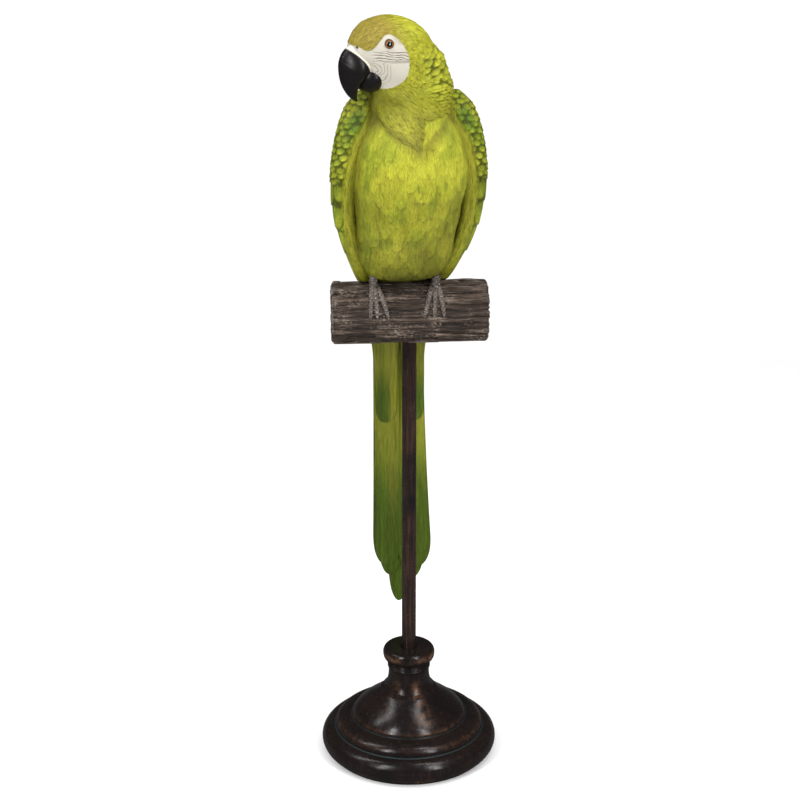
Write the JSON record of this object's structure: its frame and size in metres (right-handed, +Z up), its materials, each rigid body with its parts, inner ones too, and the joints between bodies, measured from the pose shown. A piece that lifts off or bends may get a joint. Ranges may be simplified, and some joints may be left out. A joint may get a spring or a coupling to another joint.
{
  "type": "parrot figurine on a perch stand",
  "caption": "Long-tailed parrot casting gripping a bark log, held by a thin pole on a round stepped bell base that stands on a flat surface.",
  "frame": {"origin": "middle of the base's underside, on the pole's axis", "axes": "+Z up along the pole, -Y to the front where the breast faces, X along the log"},
  "size_m": [0.15, 0.15, 0.6499],
  "materials": {
    "painted_plumage": "hand-painted resin, satin, in yellow-greens with a white face and black beak",
    "eye_glass": "glossy eye bead, orange iris and black pupil",
    "painted_bark": "painted resin bark, dark brown with dry-brushed tan ridges",
    "antique_bronze": "dark antique bronze with copper rub-through and a little verdigris",
    "zinc_steel": "zinc-plated steel",
    "brass": "turned brass"
  },
  "bodies": {
    "root": {"macaw": "painted_plumage", "left_eye": "eye_glass", "right_eye": "eye_glass", "perch_log": "painted_bark", "pole_tube": "antique_bronze", "tie_rod": "zinc_steel", "rod_insert": "brass", "base": "antique_bronze", "base_washer": "zinc_steel", "base_nut": "zinc_steel"}
  },
  "joints": []
}
